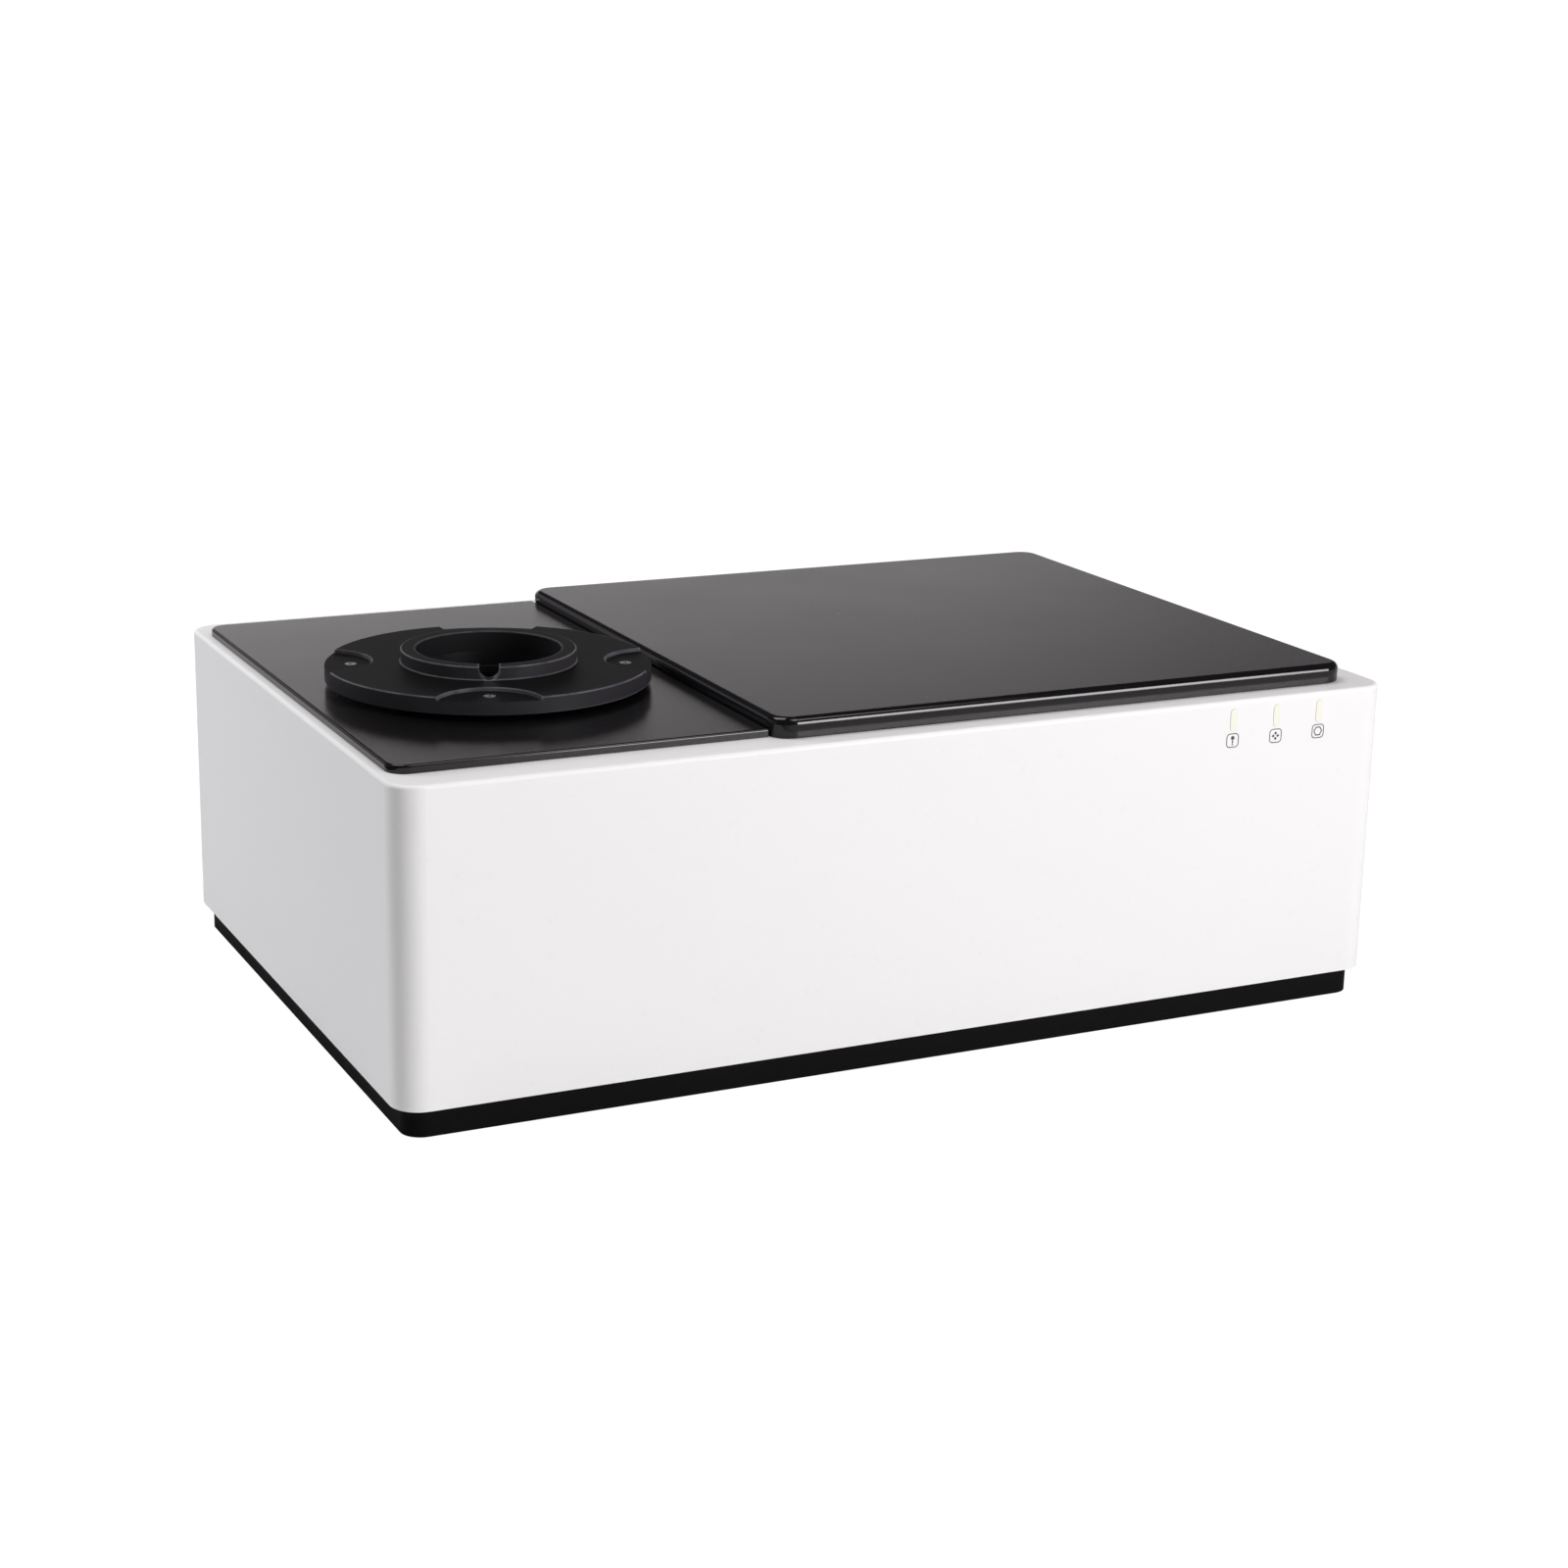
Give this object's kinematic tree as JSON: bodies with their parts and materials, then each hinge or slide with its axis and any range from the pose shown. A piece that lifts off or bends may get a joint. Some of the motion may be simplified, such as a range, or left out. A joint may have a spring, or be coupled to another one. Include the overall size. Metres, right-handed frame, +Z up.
{
  "type": "near-infrared spectrometer",
  "caption": "Bench near-infrared spectrometer: white box on a black plinth, black deck with a rotating sample stage on the left, black lid over the optics on the right.",
  "frame": {"origin": "on the bench surface, under the middle of the instrument", "axes": "+X to the right seen from the front, +Y to the rear, +Z up"},
  "size_m": [0.52, 0.3412, 0.1852],
  "materials": {
    "shell_white": "fine satin powder coat",
    "zinc_steel": "zinc plated sheet",
    "plinth_black": "matt moulded",
    "screw_steel": "bright zinc",
    "screw_black": "black oxide",
    "foot_rubber": "soft rubber",
    "deck_black": "satin black coat",
    "lid_black": "satin black, glossy edges",
    "stage_black": "fine matt black",
    "gasket_foam": "closed cell foam",
    "liner_polymer": "plain",
    "machined_aluminium": "machined",
    "black_anodised": "black anodised",
    "belt_rubber": "round belt",
    "motor_black": "semi matt",
    "window_glass": "polished",
    "lens_glass": "polished",
    "mirror_coating": "polished",
    "lamp_ceramic": "unglazed",
    "bulb_glass": "clear quartz",
    "grating_gold": "ruled gold",
    "board_green": "solder mask",
    "brass_post": "plain",
    "light_pipe": "frosted pale cream",
    "legend_ink": "screen print",
    "contact_gold": "gold plated",
    "panel_grey": "textured dark grey coat",
    "fan_black": "moulded",
    "socket_black": "moulded",
    "rocker_black": "moulded",
    "blade_metal": "nickel plated",
    "socket_metal": "tin plated"
  },
  "bodies": {
    "root": {"housing": "shell_white", "base_plate": "zinc_steel", "plinth": "plinth_black", "base_screws": "screw_steel", "rubber_feet": "foot_rubber", "deck_plate": "deck_black", "cover_studs": "screw_steel", "lid": "lid_black", "lid_gasket": "gasket_foam", "bearing_liner": "liner_polymer", "bearing_seat": "machined_aluminium", "drive_belt": "belt_rubber", "motor_bracket": "machined_aluminium", "bracket_spacers": "screw_steel", "turntable_motor": "motor_black", "window_tower": "black_anodised", "sample_window": "window_glass", "condenser_lens": "lens_glass", "mirror_block": "black_anodised", "fold_mirror": "mirror_coating", "pickoff_mirror": "mirror_coating", "lamp_housing": "machined_aluminium", "lamp_cap": "lamp_ceramic", "lamp_bulb": "bulb_glass", "relay_barrel": "black_anodised", "relay_lens": "lens_glass", "shutter_bracket": "machined_aluminium", "shutter_solenoid": "motor_black", "optical_bench": "machined_aluminium", "bench_posts": "screw_steel", "spectrograph_case": "black_anodised", "spectrograph_cover": "black_anodised", "spectrograph_mirrors": "mirror_coating", "grating": "grating_gold", "detector": "machined_aluminium", "power_supply": "zinc_steel", "main_board": "board_green", "board_posts": "brass_post", "indicator_board": "board_green", "light_bar_1": "light_pipe", "light_bar_2": "light_pipe", "light_bar_3": "light_pipe", "rear_panel": "panel_grey", "panel_screws": "screw_black", "fan_frame": "fan_black", "power_inlet": "socket_black", "inlet_blades": "blade_metal", "switch_bezel": "socket_black", "usb_socket": "socket_metal", "ethernet_socket": "socket_metal"},
    "turntable": {"turntable_disc": "stage_black", "turntable_screws": "screw_black", "turntable_hub": "black_anodised", "bearing_ring": "machined_aluminium", "turntable_pulley": "machined_aluminium"},
    "motor_rotor": {"motor_shaft": "screw_steel", "motor_pulley": "machined_aluminium"},
    "fan_rotor_body": {"fan_rotor": "fan_black"},
    "shutter": {"shutter_flag": "black_anodised"},
    "power_rocker_body": {"power_rocker": "rocker_black"}
  },
  "joints": [
    {"name": "turntable_spin", "type": "hinge", "parent": "root", "child": "turntable", "pos_m": [-0.1615, -0.0185, 0.155], "axis": [0, 0, 1], "continuous": true},
    {"name": "motor_spin", "type": "hinge", "parent": "root", "child": "motor_rotor", "pos_m": [-0.1615, 0.0955, 0.138], "axis": [0, 0, 1], "continuous": true},
    {"name": "fan_spin", "type": "hinge", "parent": "root", "child": "fan_rotor_body", "pos_m": [0.17, 0.15, 0.093], "axis": [0, 1, 0], "continuous": true},
    {"name": "shutter_swing", "type": "hinge", "parent": "root", "child": "shutter", "pos_m": [-0.0615, -0.0635, 0.086], "axis": [1, 0, 0], "range_deg": [0, 40]},
    {"name": "power_rocker_tilt", "type": "hinge", "parent": "root", "child": "power_rocker_body", "pos_m": [0.055, 0.1645, 0.115], "axis": [1, 0, 0], "range_deg": [-16, 0]}
  ],
  "couplings": [
    {"joint": "motor_spin", "follows": "turntable_spin", "ratio": 4.25}
  ]
}
